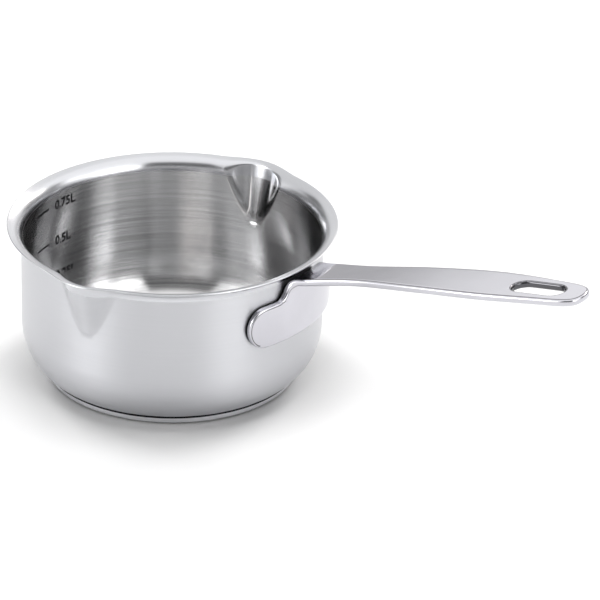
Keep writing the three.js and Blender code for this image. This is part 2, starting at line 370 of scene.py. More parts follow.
def spun_tree():
    """Spins an outline about Z and presses two spouts out of it, on +Y and -Y."""
    tree, ids, given = start_tree("Spun sheet", SPUN_INPUTS)
    do = partial(calc, tree)
    outline = add_node(tree, "GeometryNodeObjectInfo", {"Object": given["Outline"]})
    outline = outline.outputs["Geometry"]
    count = add_node(tree, "GeometryNodeAttributeDomainSize", {"Geometry": outline})
    count = count.outputs["Point Count"]
    columns = do("ADD", given["Steps"], 1.0)
    grid = add_node(tree, "GeometryNodeMeshGrid", {"Vertices X": columns, "Vertices Y": count})

    index = tree.nodes.new("GeometryNodeInputIndex").outputs[0]
    row = do("FLOORED_MODULO", index, count)
    column = do("FLOOR", do("DIVIDE", index, count))
    even = do("DIVIDE", do("MULTIPLY", column, math.tau), given["Steps"])
    crowded = do("SINE", do("MULTIPLY", even, 2.0))
    angle = do("MULTIPLY_ADD", crowded, given["Crowding"], even)

    def of_row(value, kind):
        inputs = {"Value": value, "Index": row}
        return mesh_step(tree, "SampleIndex", outline, inputs, data_type=kind, domain="POINT")

    here = tree.nodes.new("GeometryNodeInputPosition").outputs[0]
    place = split(tree, of_row(here, "FLOAT_VECTOR"))
    radius, skin, height = place["X"], place["Y"], place["Z"]
    lip = of_row(named(tree, "lip"), "FLOAT")

    above = do("SUBTRACT", height, given["Spout Bottom"])
    full = do("SUBTRACT", given["Rim Height"], given["Spout Bottom"])
    rise = do("MAXIMUM", do("DIVIDE", above, full), LEAST_RISE)
    wall = do("ADD", given["Inner Radius"], skin)
    aside = do("ARCSINE", do("COSINE", angle))
    arc = do("MULTIPLY", given["Outer Radius"], aside)
    swell = do("POWER", do("DIVIDE", arc, given["Lip Swell Half Width"]), 2.0)
    swell = do("MAXIMUM", do("SUBTRACT", 1.0, swell), 0.0)
    swell = do("MULTIPLY", do("MULTIPLY", swell, swell), given["Lip Swell"])
    radius = do("MULTIPLY_ADD", swell, lip, radius)
    narrowed = do("POWER", rise, given["Spout Rounding"])
    half = do("MULTIPLY", given["Spout Half Width"], narrowed)
    across = do("POWER", do("DIVIDE", arc, half), 2.0)
    push = do("MULTIPLY", given["Spout Push"], rise)
    cone = do("MULTIPLY", push, do("SUBTRACT", 1.0, across))
    is_above = do("GREATER_THAN", above, 0.0)
    pressed = do("MULTIPLY", do("ADD", wall, cone), is_above)
    apart = do("ABSOLUTE", do("SUBTRACT", radius, pressed))
    extra = do("SUBTRACT", given["Spout Lip Blend"], given["Spout Blend"])
    blend = do("MULTIPLY_ADD", lip, extra, given["Spout Blend"])
    near = do("SUBTRACT", blend, apart)
    near = do("MULTIPLY", do("MAXIMUM", near, 0.0), is_above)
    bulge = do("DIVIDE", do("MULTIPLY", near, near), blend)
    outer = do("MAXIMUM", radius, pressed)
    # A smooth maximum adds a quarter of the bulge to the larger of the two
    reach = do("MULTIPLY_ADD", bulge, 0.25, outer)

    depth = do("MULTIPLY", cone, is_above)
    is_inside = do("LESS_THAN", skin, INSIDE_SKIN)
    channel = do("MULTIPLY", soft_step(tree, depth, *CHANNEL_EDGE), is_inside)
    past_wall = do("SUBTRACT", height, given["Lip Start"])
    polish = do("MAXIMUM", channel, soft_step(tree, past_wall, *LIP_EDGE))
    mesh = store(tree, grid.outputs["Mesh"], "skin", skin)
    mesh = store(tree, mesh, "polish", polish)
    spot = round_axis(tree, reach, angle, height)
    mesh = mesh_step(tree, "SetPosition", mesh, {"Position": spot})
    mesh = mesh_step(tree, "MergeByDistance", mesh, {"Distance": SEAM})
    mesh = mesh_step(tree, "SetShadeSmooth", mesh)
    mesh = mesh_step(tree, "RealizeInstances", mesh)
    mesh = mesh_step(tree, "SetMaterial", mesh, {"Material": given["Outside"]})
    on_inside = do("LESS_THAN", named(tree, "skin"), INSIDE_SKIN)
    below_lip = do("LESS_THAN", split(tree, here)["Z"], given["Brushed Top"])
    brushed = do("MULTIPLY", on_inside, below_lip)
    finish = {"Selection": brushed, "Material": given["Inside"]}
    end_tree(tree, mesh_step(tree, "SetMaterial", mesh, finish))
    return tree, ids


def tick_tree():
    """Repeats one short line up the wall and wraps the lines round it."""
    tree, ids, given = start_tree("Tick lines", TICK_INPUTS)
    levels = add_node(
        tree,
        "GeometryNodeMeshLine",
        {
            "Count": given["Count"],
            "Start Location": combine(tree, 0.0, 0.0, given["Lowest"]),
            "Offset": combine(tree, 0.0, 0.0, given["Spacing"]),
        },
    )
    size = combine(tree, 1.0, given["Proud"], given["Height"])
    points = {"Vertices X": TICK_POINTS, "Vertices Y": 2, "Vertices Z": 2}
    bar = add_node(tree, "GeometryNodeMeshCube", {"Size": size, **points})
    lines = add_node(
        tree,
        "GeometryNodeInstanceOnPoints",
        {"Points": levels.outputs["Mesh"], "Instance": bar.outputs["Mesh"]},
    )
    mesh = mesh_step(tree, "RealizeInstances", lines.outputs[0])
    place = split(tree, tree.nodes.new("GeometryNodeInputPosition").outputs[0])
    share = calc(tree, "ADD", place["X"], 0.5)
    span = calc(tree, "SUBTRACT", given["End"], given["Start"])
    angle = calc(tree, "MULTIPLY_ADD", share, span, given["Start"])
    reach = calc(tree, "SUBTRACT", given["Radius"], place["Y"])
    spot = round_axis(tree, reach, angle, place["Z"])
    mesh = mesh_step(tree, "SetPosition", mesh, {"Position": spot})
    end_tree(tree, mesh_step(tree, "SetMaterial", mesh, {"Material": given["Ink"]}))
    return tree, ids


def new_object(name, data):
    """A new object in the scene."""
    holder = bpy.data.objects.new(name, data)
    bpy.context.scene.collection.objects.link(holder)
    return holder


def plain_mesh(holder):
    """An object's final shape as a new mesh."""
    view = bpy.context.evaluated_depsgraph_get()
    return bpy.data.meshes.new_from_object(holder.evaluated_get(view))


def from_nodes(name, tree, ids, inputs):
    """A plain mesh object made by a node tree with the given inputs."""
    piece = new_object(name, bpy.data.meshes.new(name))
    nodes = piece.modifiers.new("Shape", "NODES")
    nodes.node_group = tree
    for key, value in inputs.items():
        nodes[ids[key]] = value
    mesh = plain_mesh(piece)
    piece.modifiers.clear()
    piece.data = mesh
    mesh.name = name
    if not mesh.polygons:
        raise RuntimeError(f"{name} came out empty")
    return piece


def store_on(mesh, name, values):
    """Stores a number on each point of a mesh under a name."""
    mesh.attributes.new(name, "FLOAT", "POINT").data.foreach_set("value", values)


def outline_object(points):
    """An outline as a bare mesh: radius, skin and height as X, Y and Z, with the lip's share."""
    mesh = bpy.data.meshes.new("outline")
    mesh.from_pydata([tuple(p[:3]) for p in points], [], [])
    store_on(mesh, "lip", [p[3] for p in points])
    return new_object("outline", mesh)


def turn_outwards(shape):
    """Turns every face of a closed shape outwards."""
    bmesh.ops.recalc_face_normals(shape, faces=shape.faces)
    if shape.calc_volume(signed=True) < 0:
        bmesh.ops.reverse_faces(shape, faces=shape.faces)


def point_outwards(piece):
    """Turns every face of a closed piece outwards."""
    shape = bmesh.new()
    shape.from_mesh(piece.data)
    turn_outwards(shape)
    shape.to_mesh(piece.data)
    shape.free()


# Outlines of the spun pieces


# Shares of each flat stretch at which an outline has points, and how many points each curve has
FLOOR_SHARES = (0.0, 0.3, 0.6, 0.85)
LIP_SHARES = (0.25, 0.5, 0.75, 1.0)
CAP_SHARES = (0.0, 0.5, 0.9, 0.98)
CORNER_POINTS = 25
PLAIN_POINTS = 8
SPOUT_POINTS = 42
LIP_POINTS = 15
EDGE_POINTS = 7
CAP_POINTS = 16


def lip_start_height(p):
    """Height where the straight wall ends and the lip's curve starts."""
    lip_rise = p.lip_radius * math.sin(p.lip_turn) + p.lip_flat * math.cos(p.lip_turn)
    return p.rim_height - lip_rise


def body_face(p, skin):
    """Radius, skin, height and lip's share up one face of the body, from floor to lip."""
    flat = p.inner_radius + p.sheet - p.corner_reach
    wide = p.corner_reach - p.sheet + skin
    deep = p.corner_top - p.bottom - p.sheet + skin
    round_reach = p.lip_radius * (1 - math.cos(p.lip_turn))
    reach = round_reach + p.lip_flat * math.sin(p.lip_turn)
    lip_start = lip_start_height(p)
    arc = p.lip_radius - skin
    points = [(flat * share, skin, p.corner_top - deep, 0.0) for share in FLOOR_SHARES]
    for angle in np.linspace(0, math.pi / 2, CORNER_POINTS):
        height = p.corner_top - deep * math.cos(angle)
        points.append((flat + wide * math.sin(angle), skin, height, 0.0))
    plain = np.linspace(p.corner_top, p.spout_bottom, PLAIN_POINTS)[1:-1]
    for height in (*plain, *np.linspace(p.spout_bottom, lip_start, SPOUT_POINTS)[:-1]):
        points.append((p.inner_radius + skin, skin, height, 0.0))
    for angle in np.linspace(0, p.lip_turn, LIP_POINTS):
        radius = p.inner_radius + p.lip_radius - arc * math.cos(angle)
        share = p.lip_radius * (1 - math.cos(angle)) / reach
        points.append((radius, skin, lip_start + arc * math.sin(angle), share))
    radius, _, height, _ = points[-1]
    for share in LIP_SHARES:
        out = share * p.lip_flat * math.sin(p.lip_turn)
        up = share * p.lip_flat * math.cos(p.lip_turn)
        points.append((radius + out, skin, height + up, (round_reach + out) / reach))
    return points


def rounded_edge(outside, inside, turned):
    """Points round a sheet's edge, from its outside face to its inside face."""
    a, b = Vector(outside[:3]), Vector(inside[:3])
    middle = (a + b) / 2
    half = math.dist((a.x, a.z), (b.x, b.z)) / 2
    along = Vector((math.sin(turned), 0, math.cos(turned)))
    edge = []
    for angle in np.linspace(0, math.pi, EDGE_POINTS)[1:-1]:
        spot = middle + (a - middle) * math.cos(angle) + along * half * math.sin(angle)
        edge.append((*spot, inside[3]))
    return edge


def body_outline(p):
    """The body's closed section: outside face, rounded lip edge, inside face."""
    outside = body_face(p, p.sheet)
    inside = body_face(p, 0.0)
    return outside + rounded_edge(outside[-1], inside[-1], p.lip_turn) + inside[::-1]


def cap_face(p, skin):
    """One face of the base cap from the axis to its upper edge."""
    arc = p.cap_corner - skin
    points = [(p.cap_flat * share, skin, skin, 0.0) for share in CAP_SHARES]
    for angle in np.linspace(0, p.cap_turn, CAP_POINTS):
        height = p.cap_corner - arc * math.cos(angle)
        points.append((p.cap_flat + arc * math.sin(angle), skin, height, 0.0))
    radius, _, height, _ = points[-1]
    out, up = p.cap_side * math.cos(p.cap_turn), p.cap_side * math.sin(p.cap_turn)
    points.append((radius + out, skin, height + up, 0.0))
    return points


def cap_top(p):
    """Height of the cap's upper edge."""
    return cap_face(p, 0.0)[-1][2]


def cap_outline(p):
    """The cap's closed section with a rounded upper edge."""
    outside = cap_face(p, 0.0)
    inside = cap_face(p, p.cap_sheet)
    edge = rounded_edge(outside[-1], inside[-1], math.pi / 2 - p.cap_turn)
    return outside + edge + inside[::-1]


# The handle's blank and its fold


# Half of the climb along the flange's top edge, which keeps the outline rising
SLACK = 0.12 * MM
# Control points of the flange's corner curves, as shares of the corner's size
CORNER_ACROSS, CORNER_ALONG = 0.4, 0.5
# Control points of the neck's curve, across and along, and its end past the bend
NECK_LOW = (4 * MM, 0.6 * MM)
NECK_HIGH = (0.4 * MM, 1.5 * MM)
NECK_END = 2 * MM
# Shares of the bar's length at its waist, swell, belly and end, and for the tip's curve
WAIST_AT, SWELL_AT, BELLY_AT, END_AT, TIP_AT = 0.2, 0.42, 0.67, 0.9, 0.97
# Half width at the swell as a share of waist and belly together
SWELL_SHARE = 0.525
# Control points of the tip's curve: inside the bar's end, and as a share of its half width
TIP_INSET = 0.9 * MM
TIP_SHARE = 0.78
# Points along each curve of the outline
CORNER_STEPS, NECK_STEPS, BAR_STEPS, TIP_STEPS = 24, 40, 20, 60
# Distances of rows from an edge and above the flange's top, and of columns from an edge
CLOSE = np.array([0, 0.02, 0.06, 0.14, 0.27, 0.45, 0.68, 0.92, 1.15, 1.5, 2.0, 2.7]) * MM
ABOVE_TOP = np.array([0.15, 0.2, 0.3, 0.45, 0.65, 0.9, 1.2, 1.6, 2.0, 2.5, 3.0]) * MM
RIM = np.array([0, 0.03, 0.1, 0.22, 0.4, 0.64, 0.9, 1.18]) * MM
# First, last and step of the rows between the close ones, in millimetres
TIP_ROWS, SLOT_ROWS, FLANGE_ROWS = (3, 14, 0.7), (3, 7, 0.5), (3, 19, 0.8)
# Rows along the flange's top edge and round the bend, and the step of rows along the bar
TOP_ROWS, BEND_ROWS, BAR_STEP = 9, 40, 1.6 * MM
# Where the bend's rows end past it, and where the bar's rows end before the tip
PAST_BEND, BEFORE_TIP = 4 * MM, 14 * MM
# Bend lengths over which the flange's curve runs out, and its least curve
FLATTENING, LEAST_CURVE = 1.5, 1e-4
# Least half width of the blank, and the largest share of a half width that the slot takes
LEAST_HALF, SLOT_LIMIT = 1e-7, 0.9
# Columns across a strip's middle, with the last one of each rim
MIDDLE_COLUMNS = 9
# Least square of a step along the outline
LEAST_SQUARE = 1e-18
# Depth and margin of the slot's walls, which get painted shade, and the foot of the flange that
# has no painted reflection line
SLOT_WALL, SLOT_MARGIN, FOOT = 0.6 * MM, 1 * MM, 2 * MM
# Points of the handle closer than this are joined
HANDLE_SEAM = 2e-6


def bezier(a, b, c, d, count):
    """Points of a cubic curve, without its first one."""
    t = np.linspace(0, 1, count + 1)[1:, None]
    a, b, c, d = (np.array(v) for v in (a, b, c, d))
    return (1 - t) ** 3 * a + 3 * (1 - t) ** 2 * t * b + 3 * (1 - t) * t * t * c + t**3 * d


def spline(knots, count):
    """Points of a smooth curve through the knots, without its first one."""
    knots = [np.array(k) for k in knots]
    padded = [knots[0], *knots, knots[-1]]
    points = []
    for i in range(len(knots) - 1):
        a, b, c, d = padded[i : i + 4]
        for t in np.linspace(0, 1, count + 1)[1:]:
            v0, v1 = (c - a) / 2, (d - b) / 2
            points.append(
                (2 * b - 2 * c + v0 + v1) * t**3
                + (3 * c - 3 * b - 2 * v0 - v1) * t**2
                + v0 * t
                + b
            )
    return np.array(points)


class Blank:
    """The handle's flat blank: half widths along its length, and its fold."""

    def __init__(self, pan, h):
        self.h = h
        self.bend_start = h.bend_height - h.flange_bottom
        self.bend_turn = math.pi / 2 - h.slope_near
        self.bend_length = h.bend_radius * self.bend_turn
        self.bar_start = self.bend_start + self.bend_length
        self.tip = self.bar_start + h.bar_length
        self.wrap = pan.inner_radius + pan.sheet + h.wall_gap + h.thick / 2
        self.slot_middle = self.tip - h.slot_from_tip
        self.side = self.outline()

    def outline(self):
        """The blank's right-hand edge from the flange's foot to the bar's tip."""
        h, bar, rise = self.h, self.bar_start, self.h.flange_rise
        half, corner, long = h.flange_half, h.flange_corner, h.bar_length
        foot, middle = (half - corner, 0.0), (half, rise / 2)
        top, neck_foot = (half - corner, rise - SLACK), (h.neck_start, rise + SLACK)
        across, along = half - CORNER_ACROSS * corner, CORNER_ALONG * corner
        low = bezier(foot, (across, 0), (half, along), middle, CORNER_STEPS)
        high = bezier(middle, (half, rise - along), (across, rise - SLACK), top, CORNER_STEPS)
        near = (h.near_half, bar + NECK_END)
        neck = bezier(
            neck_foot,
            (h.near_half + NECK_LOW[0], rise + NECK_LOW[1]),
            (h.near_half + NECK_HIGH[0], self.bend_start + NECK_HIGH[1]),
            near,
            NECK_STEPS,
        )
        knots = [
            near,
            (h.waist_half, bar + WAIST_AT * long),
            (SWELL_SHARE * (h.waist_half + h.belly_half), bar + SWELL_AT * long),
            (h.belly_half, bar + BELLY_AT * long),
            (h.end_half, bar + END_AT * long),
        ]
        tip = bezier(
            knots[-1],
            (h.end_half - TIP_INSET, bar + TIP_AT * long),
            (TIP_SHARE * h.end_half, bar + long),
            (0.0, bar + long),
            TIP_STEPS,
        )
        bar_side = spline(knots, BAR_STEPS)
        return np.vstack([[foot], low, high, [neck_foot], neck, bar_side, tip])

    def half_width(self, along):
        """Half of the blank's width at each place along it."""
        return np.interp(along, self.side[:, 1], self.side[:, 0])

    def slot_half(self, along):
        """Half of the slot's width at each place along the blank."""
        h = self.h
        past = np.abs(along - self.slot_middle) - (h.slot_half_length - h.slot_half_width)
        past = np.clip(past, 0, h.slot_half_width)
        return np.sqrt(h.slot_half_width**2 - past**2)

    def rows(self):
        """Places along the blank, close together where an edge crosses it."""
        h, top = self.h, self.h.flange_rise
        places = [
            CLOSE,
            self.tip - CLOSE,
            self.tip - np.arange(*TIP_ROWS) * MM,
            top - CLOSE,
            top + np.linspace(-SLACK, SLACK, TOP_ROWS),
            top + ABOVE_TOP,
            np.arange(*FLANGE_ROWS) * MM,
            np.linspace(self.bend_start, self.bar_start + PAST_BEND, BEND_ROWS),
            np.arange(self.bar_start, self.tip - BEFORE_TIP, BAR_STEP),
        ]
        for inward in (1, -1):
            end = self.slot_middle - inward * h.slot_half_length
            places += [end - CLOSE, end + CLOSE, end + inward * np.arange(*SLOT_ROWS) * MM]
        sorted_places = np.unique(np.round(np.concatenate(places), 7))
        inside = (sorted_places >= 0) & (sorted_places <= self.tip)
        return sorted_places[inside]

    def edge_distance(self, points):
        """Distance from points of the blank to its nearest edge, the slot's included."""
        h = self.h
        right = np.vstack([[(0.0, 0.0)], self.side])
        left = right * (-1, 1)
        straight = h.slot_half_length - h.slot_half_width
        from_slot = np.stack(
            [points[:, 0], np.maximum(np.abs(points[:, 1] - self.slot_middle) - straight, 0)], 1
        )
        nearest = np.abs(np.linalg.norm(from_slot, axis=1) - h.slot_half_width)
        for line in (right, left):
            start, step = line[:-1], np.diff(line, axis=0)
            size = np.maximum((step**2).sum(1), LEAST_SQUARE)
            for a, d, s in zip(start, step, size):
                share = np.clip(((points - a) @ d) / s, 0, 1)
                gap = np.linalg.norm(points - a - share[:, None] * d, axis=1)
                nearest = np.minimum(nearest, gap)
        return nearest

    def fold_line(self, along):
        """Middle line of the folded blank: x, z and turn from upright."""
        h = self.h
        bend = np.clip((along - self.bend_start) / h.bend_radius, 0, self.bend_turn)
        x = self.wrap + h.bend_radius * (1 - np.cos(bend))
        z = h.flange_bottom + np.minimum(along, self.bend_start) + h.bend_radius * np.sin(bend)
        fall = (h.slope_near - h.slope_end) / h.bar_length
        past = np.maximum(along - self.bar_start, 0)
        slope = h.slope_near - fall * past
        x = x + (math.sin(h.slope_near) - np.sin(slope)) / fall
        z = z + (np.cos(slope) - math.cos(h.slope_near)) / fall
        return x, z, np.where(past > 0, math.pi / 2 - slope, bend)

    def fold(self, across, along, depth):
        """Places of blank points once the flange is wrapped and the neck bent."""
        x, z, bend = self.fold_line(along)
        flat = np.clip((along - self.bend_start) / (FLATTENING * self.bend_length), 0, 1)
        radius = self.wrap / np.maximum(1 - flat * flat * (3 - 2 * flat), LEAST_CURVE)
        swing = across / radius
        out = depth * np.cos(swing) - 2 * radius * np.sin(swing / 2) ** 2
        return np.stack(
            [x + out * np.cos(bend), (radius + depth) * np.sin(swing), z - out * np.sin(bend)], 1
        )


def column_shares(width):
    """Shares from 0 to 1 across a strip, close together at both of its edges."""
    rim = RIM * min(1.0, width / (4 * RIM[-1])) / width
    middle = np.linspace(rim[-1], 1 - rim[-1], MIDDLE_COLUMNS)[1:-1]
    return np.concatenate([rim, middle, 1 - rim[::-1]])


def handle_mesh(pan, h):
    """The folded handle as one closed mesh."""
    blank = Blank(pan, h)
    rows = blank.rows()
    outer = np.maximum(blank.half_width(rows), LEAST_HALF)
    outer[-1] = LEAST_HALF
    inner = np.minimum(blank.slot_half(rows), outer * SLOT_LIMIT)
    flat = []
    for along, low, high in zip(rows, inner, outer):
        shares = column_shares(high - low)
        flat.append(np.stack([low + (high - low) * shares, np.full(len(shares), along)], 1))
    flat = np.array(flat)
    count_rows, count_columns = flat.shape[:2]
    last = count_columns - 1
    points = flat.reshape(-1, 2)
    across, along = points[:, 0], points[:, 1]
    from_edge = blank.edge_distance(points)
    inset = np.minimum(from_edge, h.edge)
    height = h.thick / 2 - h.edge + np.sqrt(h.edge**2 - (h.edge - inset) ** 2)
    layers = [
        blank.fold(side * across, along, depth * height) for side in (1, -1) for depth in (-1, 1)
    ]

    def quad(*corners):
        """Numbers of a face's corners, each given by its layer, row and column."""
        return tuple((layer * count_rows + r) * count_columns + c for layer, r, c in corners)

    faces = []
    for low in (0, 2):
        high = low + 1
        for r in range(count_rows - 1):
            for c in range(last):
                for i in (low, high):
                    faces.append(quad((i, r, c), (i, r, c + 1), (i, r + 1, c + 1), (i, r + 1, c)))
            edges = [last]
            if inner[r] > 0 or inner[r + 1] > 0:
                edges.append(0)
            for c in edges:
                faces.append(quad((low, r, c), (high, r, c), (high, r + 1, c), (low, r + 1, c)))
        for c in range(last):
            faces.append(quad((low, 0, c), (high, 0, c), (high, 0, c + 1), (low, 0, c + 1)))
    mesh = bpy.data.meshes.new("handle_steel")
    mesh.from_pydata(np.vstack(layers).tolist(), [], faces)
    # The slot's walls and the distance from the edges are stored for painted shade and a painted
    # dark reflection line in the finish
    slot_rows = rows[inner > 0]
    in_slot = (inset < SLOT_WALL) & (across < inner.max() + SLOT_MARGIN)
    in_slot &= (along > slot_rows[0] - SLOT_MARGIN) & (along < slot_rows[-1] + SLOT_MARGIN)
    store_on(mesh, "slot", np.tile(in_slot.astype(float), len(layers)))
    from_edge[along < FOOT] = 2 * h.edge
    store_on(mesh, "from_edge", np.tile(from_edge / h.edge, len(layers)))
    shape = bmesh.new()
    shape.from_mesh(mesh)
    bmesh.ops.remove_doubles(shape, verts=shape.verts, dist=HANDLE_SEAM)
    bmesh.ops.dissolve_degenerate(shape, edges=shape.edges, dist=SEAM)
    loose = [v for v in shape.verts if not v.link_faces]
    bmesh.ops.delete(shape, geom=loose, context="VERTS")
    turn_outwards(shape)
    for face in shape.faces:
        face.smooth = True
    shape.to_mesh(mesh)
    shape.free()
    return mesh


# The studio's light tent, lamps and floor


# Brightness that the tent's ramps count as 1
FULL_GLOW = 7.0
# Tint of the warm panel
WARM = (1.0, 0.93, 0.885)
# Bearing in degrees, with 0 to the right, 90 behind and -90 at the camera, and brightness
LOW_PANELS = (
    (-180, 1.2), (-170, 3.0), (-158, 7.8), (-147, 7.8), (-138, 4.4), (-129, 2.2), (-127, 0.8),
    (-65, 0.8), (-63, 2.3), (-48, 4.8), (-38, 5.6), (-25, 2.4), (0, 1.2), (10, 0.5), (45, 0.5),
    (58, 1.25), (92, 1.24), (106, 0.97), (118, 0.85), (126, 0.4), (168, 0.4), (180, 1.2),
)
MAIN_PANELS = (
    (-180, 1.2), (-172, 3.0), (-164, 6.8), (-155, 4.6), (-141, 2.4), (-129, 1.2), (-127, 0.1),
    (-65, 0.1), (-63, 2.0), (-48, 7.0), (-35, 3.0), (-20, 2.0), (-2, 2.2), (12, 0.3), (18, 0.3),
    (32, 0.9), (60, 0.8), (80, 0.9), (96, 0.95), (112, 1.0), (122, 0.9), (128, 0.2), (146, 0.2),
    (149, 0.6), (165, 1.0), (180, 1.2),
)
HIGH_PANELS = (
    (-180, 1.0), (-165, 1.25), (-129, 1.25), (-127, 0.15), (-65, 0.15), (-63, 1.4), (48, 1.35),
    (70, 1.1), (90, 0.95), (112, 0.9), (145, 0.9), (180, 1.0),
)
WARM_PANEL = ((26, 0.0), (34, 3.4), (60, 5.6), (74, 4.2), (84, 0.7), (90, 0.0))
# Sine of the elevation, and the share of the low panels' brightness there
LOW_RISE = ((0.2, 0.54), (0.25, 0.87), (0.3, 1.02), (0.36, 1.0))
# Elevations in degrees between which one part of the tent runs into the next
MAIN_FROM, WARM_FROM, HIGH_FROM, TOP_FROM = (20, 23), (24, 27), (32, 36), (53, 58)
# Brightness of the tent's top
TOP_GLOW = 1.3
# Share of the tent's light that falls on dull faces, such as the floor
DULL_SHARE = 0.25
# Name, bearing and elevation in degrees, distance and width in metres, and brightness
FLOOR_LAMPS = (
    ("floor_lamp", 0, 90, 5.0, 2.5, 6.1),
    ("right_floor_lamp", 45, 40, 4.0, 1.5, 8.0),
    ("left_floor_lamp", 135, 40, 4.0, 1.5, 8.0),
)
# Half of the floor's side in metres, and its roughness
FLOOR_HALF, FLOOR_ROUGHNESS = 6.0, 0.9
# Width of the camera's sensor in millimetres
SENSOR_WIDTH = 36.0


def tent_stops(panels):
    """Ramp stops round the tent, as shares of the full brightness."""
    return [(bearing / 360 + 0.5, glow / FULL_GLOW) for bearing, glow in panels]


def stage_axes(s):
    """Level directions to the camera's right and away from it."""
    right = Vector((math.cos(s.azimuth), math.sin(s.azimuth), 0))
    return right, Vector((-right.y, right.x, 0))


# Finishes


# Painted shade in the groove where body and base cap meet, and how softly it starts and ends
JOINT_PAINTED_SHADE, JOINT_SOFT = (0.015, 0.015, 0.017), 0.1 * MM
# Open share round a point, and the share of its colour that it keeps under painted shade in
# narrow gaps
GAP_SHADE_STOPS = ((0.4, 0.05), (0.78, 1.0))
# Distance from an edge of the handle in edge radii, and the strength of the painted dark
# reflection line there
EDGE_LINE_REFLECTION_STOPS = ((0.55, 0.0), (0.72, 1.0), (0.86, 1.0), (1.0, 0.0))
# Share of the colour that the slot's walls keep under painted shade, and that the painted dark
# reflection line keeps
SLOT_PAINTED_SHADE, EDGE_LINE_REFLECTION_SHADE = (0.18, 0.18, 0.18), (0.2, 0.2, 0.2)
# How far a metal looks for gaps to fill with painted shade
BODY_GAP, CAP_GAP, HANDLE_GAP = 1.1 * MM, 1.5 * MM, 4 * MM
# Roughness and strength of the grain
HANDLE_FACE, CORE_FACE, WELD_FACE = (0.08, 0.04), (0.45, 0.3), (0.55, 0.5)
# Noise cells in a metre of a plain metal, of its grain and of a mark, and the grain's depth
CLOUDS, GRAINS, MARK_GRAINS = 60.0, 2600.0, 3000.0
GRAIN_DEPTH = 0.02 * MM
# Noise value, and the share of the colour or of the roughness there
CLOUD_SHADES, CLOUD_GLOSS = ((0.3, 0.94), (0.65, 1.0)), ((0.3, 0.85), (0.7, 1.15))
MARK_SHADES = ((0.35, 1.0), (0.75, 2.2))
# Ring finishes: noise cells in a unit turned about the axis and in a metre up the wall,
# shares of the colour and roughness over that noise, the roughness of the polish, the
# spread of the gloss, and the strength and depth of the relief
SATIN = {
    "rings": (1.5, 900.0),
    "shades": ((0.3, 0.8722), (0.65, 0.89)),
    "rough": ((0.3, 0.32), (0.7, 0.35)),
    "polished": 0.22,
    "spread": 0.8,
    "strength": 0.02,
    "depth": 0.05 * MM,
}
BRUSHED = {
    "rings": (0.9, 2200.0),
    "shades": ((0.4, 0.87), (0.58, 1.0)),
    "rough": ((0.35, 0.135), (0.65, 0.175)),
    "polished": 0.1,
    "spread": 1.0,
    "strength": 1.0,
    "depth": 0.025 * MM,
}
# Turn of the gloss, as a share of a whole turn
QUARTER_TURN = 0.25


def object_place(tree):
    """The place on a piece, in its own frame."""
    return tree.nodes.new("ShaderNodeTexCoord").outputs["Object"]


def stored(tree, name):
    """A number stored on a piece under a name, or 0 on a piece without it."""
    return add_node(tree, "ShaderNodeAttribute", attribute_name=name).outputs["Fac"]


def shaded(colour, stops):
    """Ramp stops of a colour from stops of shares."""
    return [(place, tuple(share * c for c in colour)) for place, share in stops]


def relief(tree, height, strength, depth):
    """The normal of a fine relief."""
    inputs = {"Height": height, "Strength": strength, "Distance": depth}
    return add_node(tree, "ShaderNodeBump", inputs).outputs["Normal"]


def painted_joint_shade(tree, colour, low, high):
    """A colour with a band of painted shade between two heights, in the groove where body and
    base cap meet.
    """
    height = split(tree, object_place(tree))["Z"]
    start, end = (soft_step(tree, height, z - JOINT_SOFT, z + JOINT_SOFT) for z in (low, high))
    return mix_colours(tree, calc(tree, "SUBTRACT", start, end), colour, JOINT_PAINTED_SHADE, "MIX")


def painted_gap_shade(tree, colour, reach):
    """A colour with painted shade in narrow gaps and on the handle's slot walls, and a painted
    dark reflection line along the handle's edges.
    """
    # Ambient occlusion darkens the colour: painted shade in creases, contact gaps and where a
    # piece meets the floor
    open_share = add_node(tree, "ShaderNodeAmbientOcclusion", {"Distance": reach}).outputs["AO"]
    shade = ramp(tree, open_share, GAP_SHADE_STOPS)
    # Painted shade on the slot's walls
    shade = mix_colours(tree, stored(tree, "slot"), shade, SLOT_PAINTED_SHADE, "MIX")
    # A painted dark reflection line just inside the rounded edges
    line = ramp(tree, stored(tree, "from_edge"), EDGE_LINE_REFLECTION_STOPS)
    shade = mix_colours(tree, line, shade, EDGE_LINE_REFLECTION_SHADE, "MIX")
    return mix_colours(tree, 1.0, colour, shade, "MULTIPLY")


def metal(name, colour, face, reach=0.0):
    """A metal whose gloss varies a little over the surface, and which may have painted shade in
    its gaps.
    """
    material, tree, shader = new_material(name)
    roughness, grain = face
    where = object_place(tree)
    cloud = noise(tree, where, CLOUDS, 3.0)
    shade = ramp(tree, cloud, shaded(colour, CLOUD_SHADES))
    inputs = {
        "Base Color": painted_gap_shade(tree, shade, reach) if reach else shade,
        "Metallic": 1.0,
        "Roughness": ramp(tree, cloud, [(at, share * roughness) for at, share in CLOUD_GLOSS]),
        "Normal": relief(tree, noise(tree, where, GRAINS, 2.0), grain, GRAIN_DEPTH),
    }
    feed_all(tree, shader, inputs)
    return material


def ring_lines(tree, per_turn, per_metre):
    """Fine uneven lines that run round the pan's axis, on its wall and on its floor."""
    place = split(tree, object_place(tree))
    level = combine(tree, place["X"], place["Y"], 0.0)
    radius = add_node(tree, "ShaderNodeVectorMath", {0: level}, operation="LENGTH")
    along = calc(tree, "ADD", radius.outputs["Value"], place["Z"])
    turned = add_node(tree, "ShaderNodeVectorMath", {0: level}, operation="NORMALIZE")
    turned = split(tree, turned.outputs["Vector"])
    x, y = (calc(tree, "MULTIPLY", turned[axis], per_turn) for axis in "XY")
    spot = combine(tree, x, y, calc(tree, "MULTIPLY", along, per_metre))
    return noise(tree, spot, 1.0, 2.0)


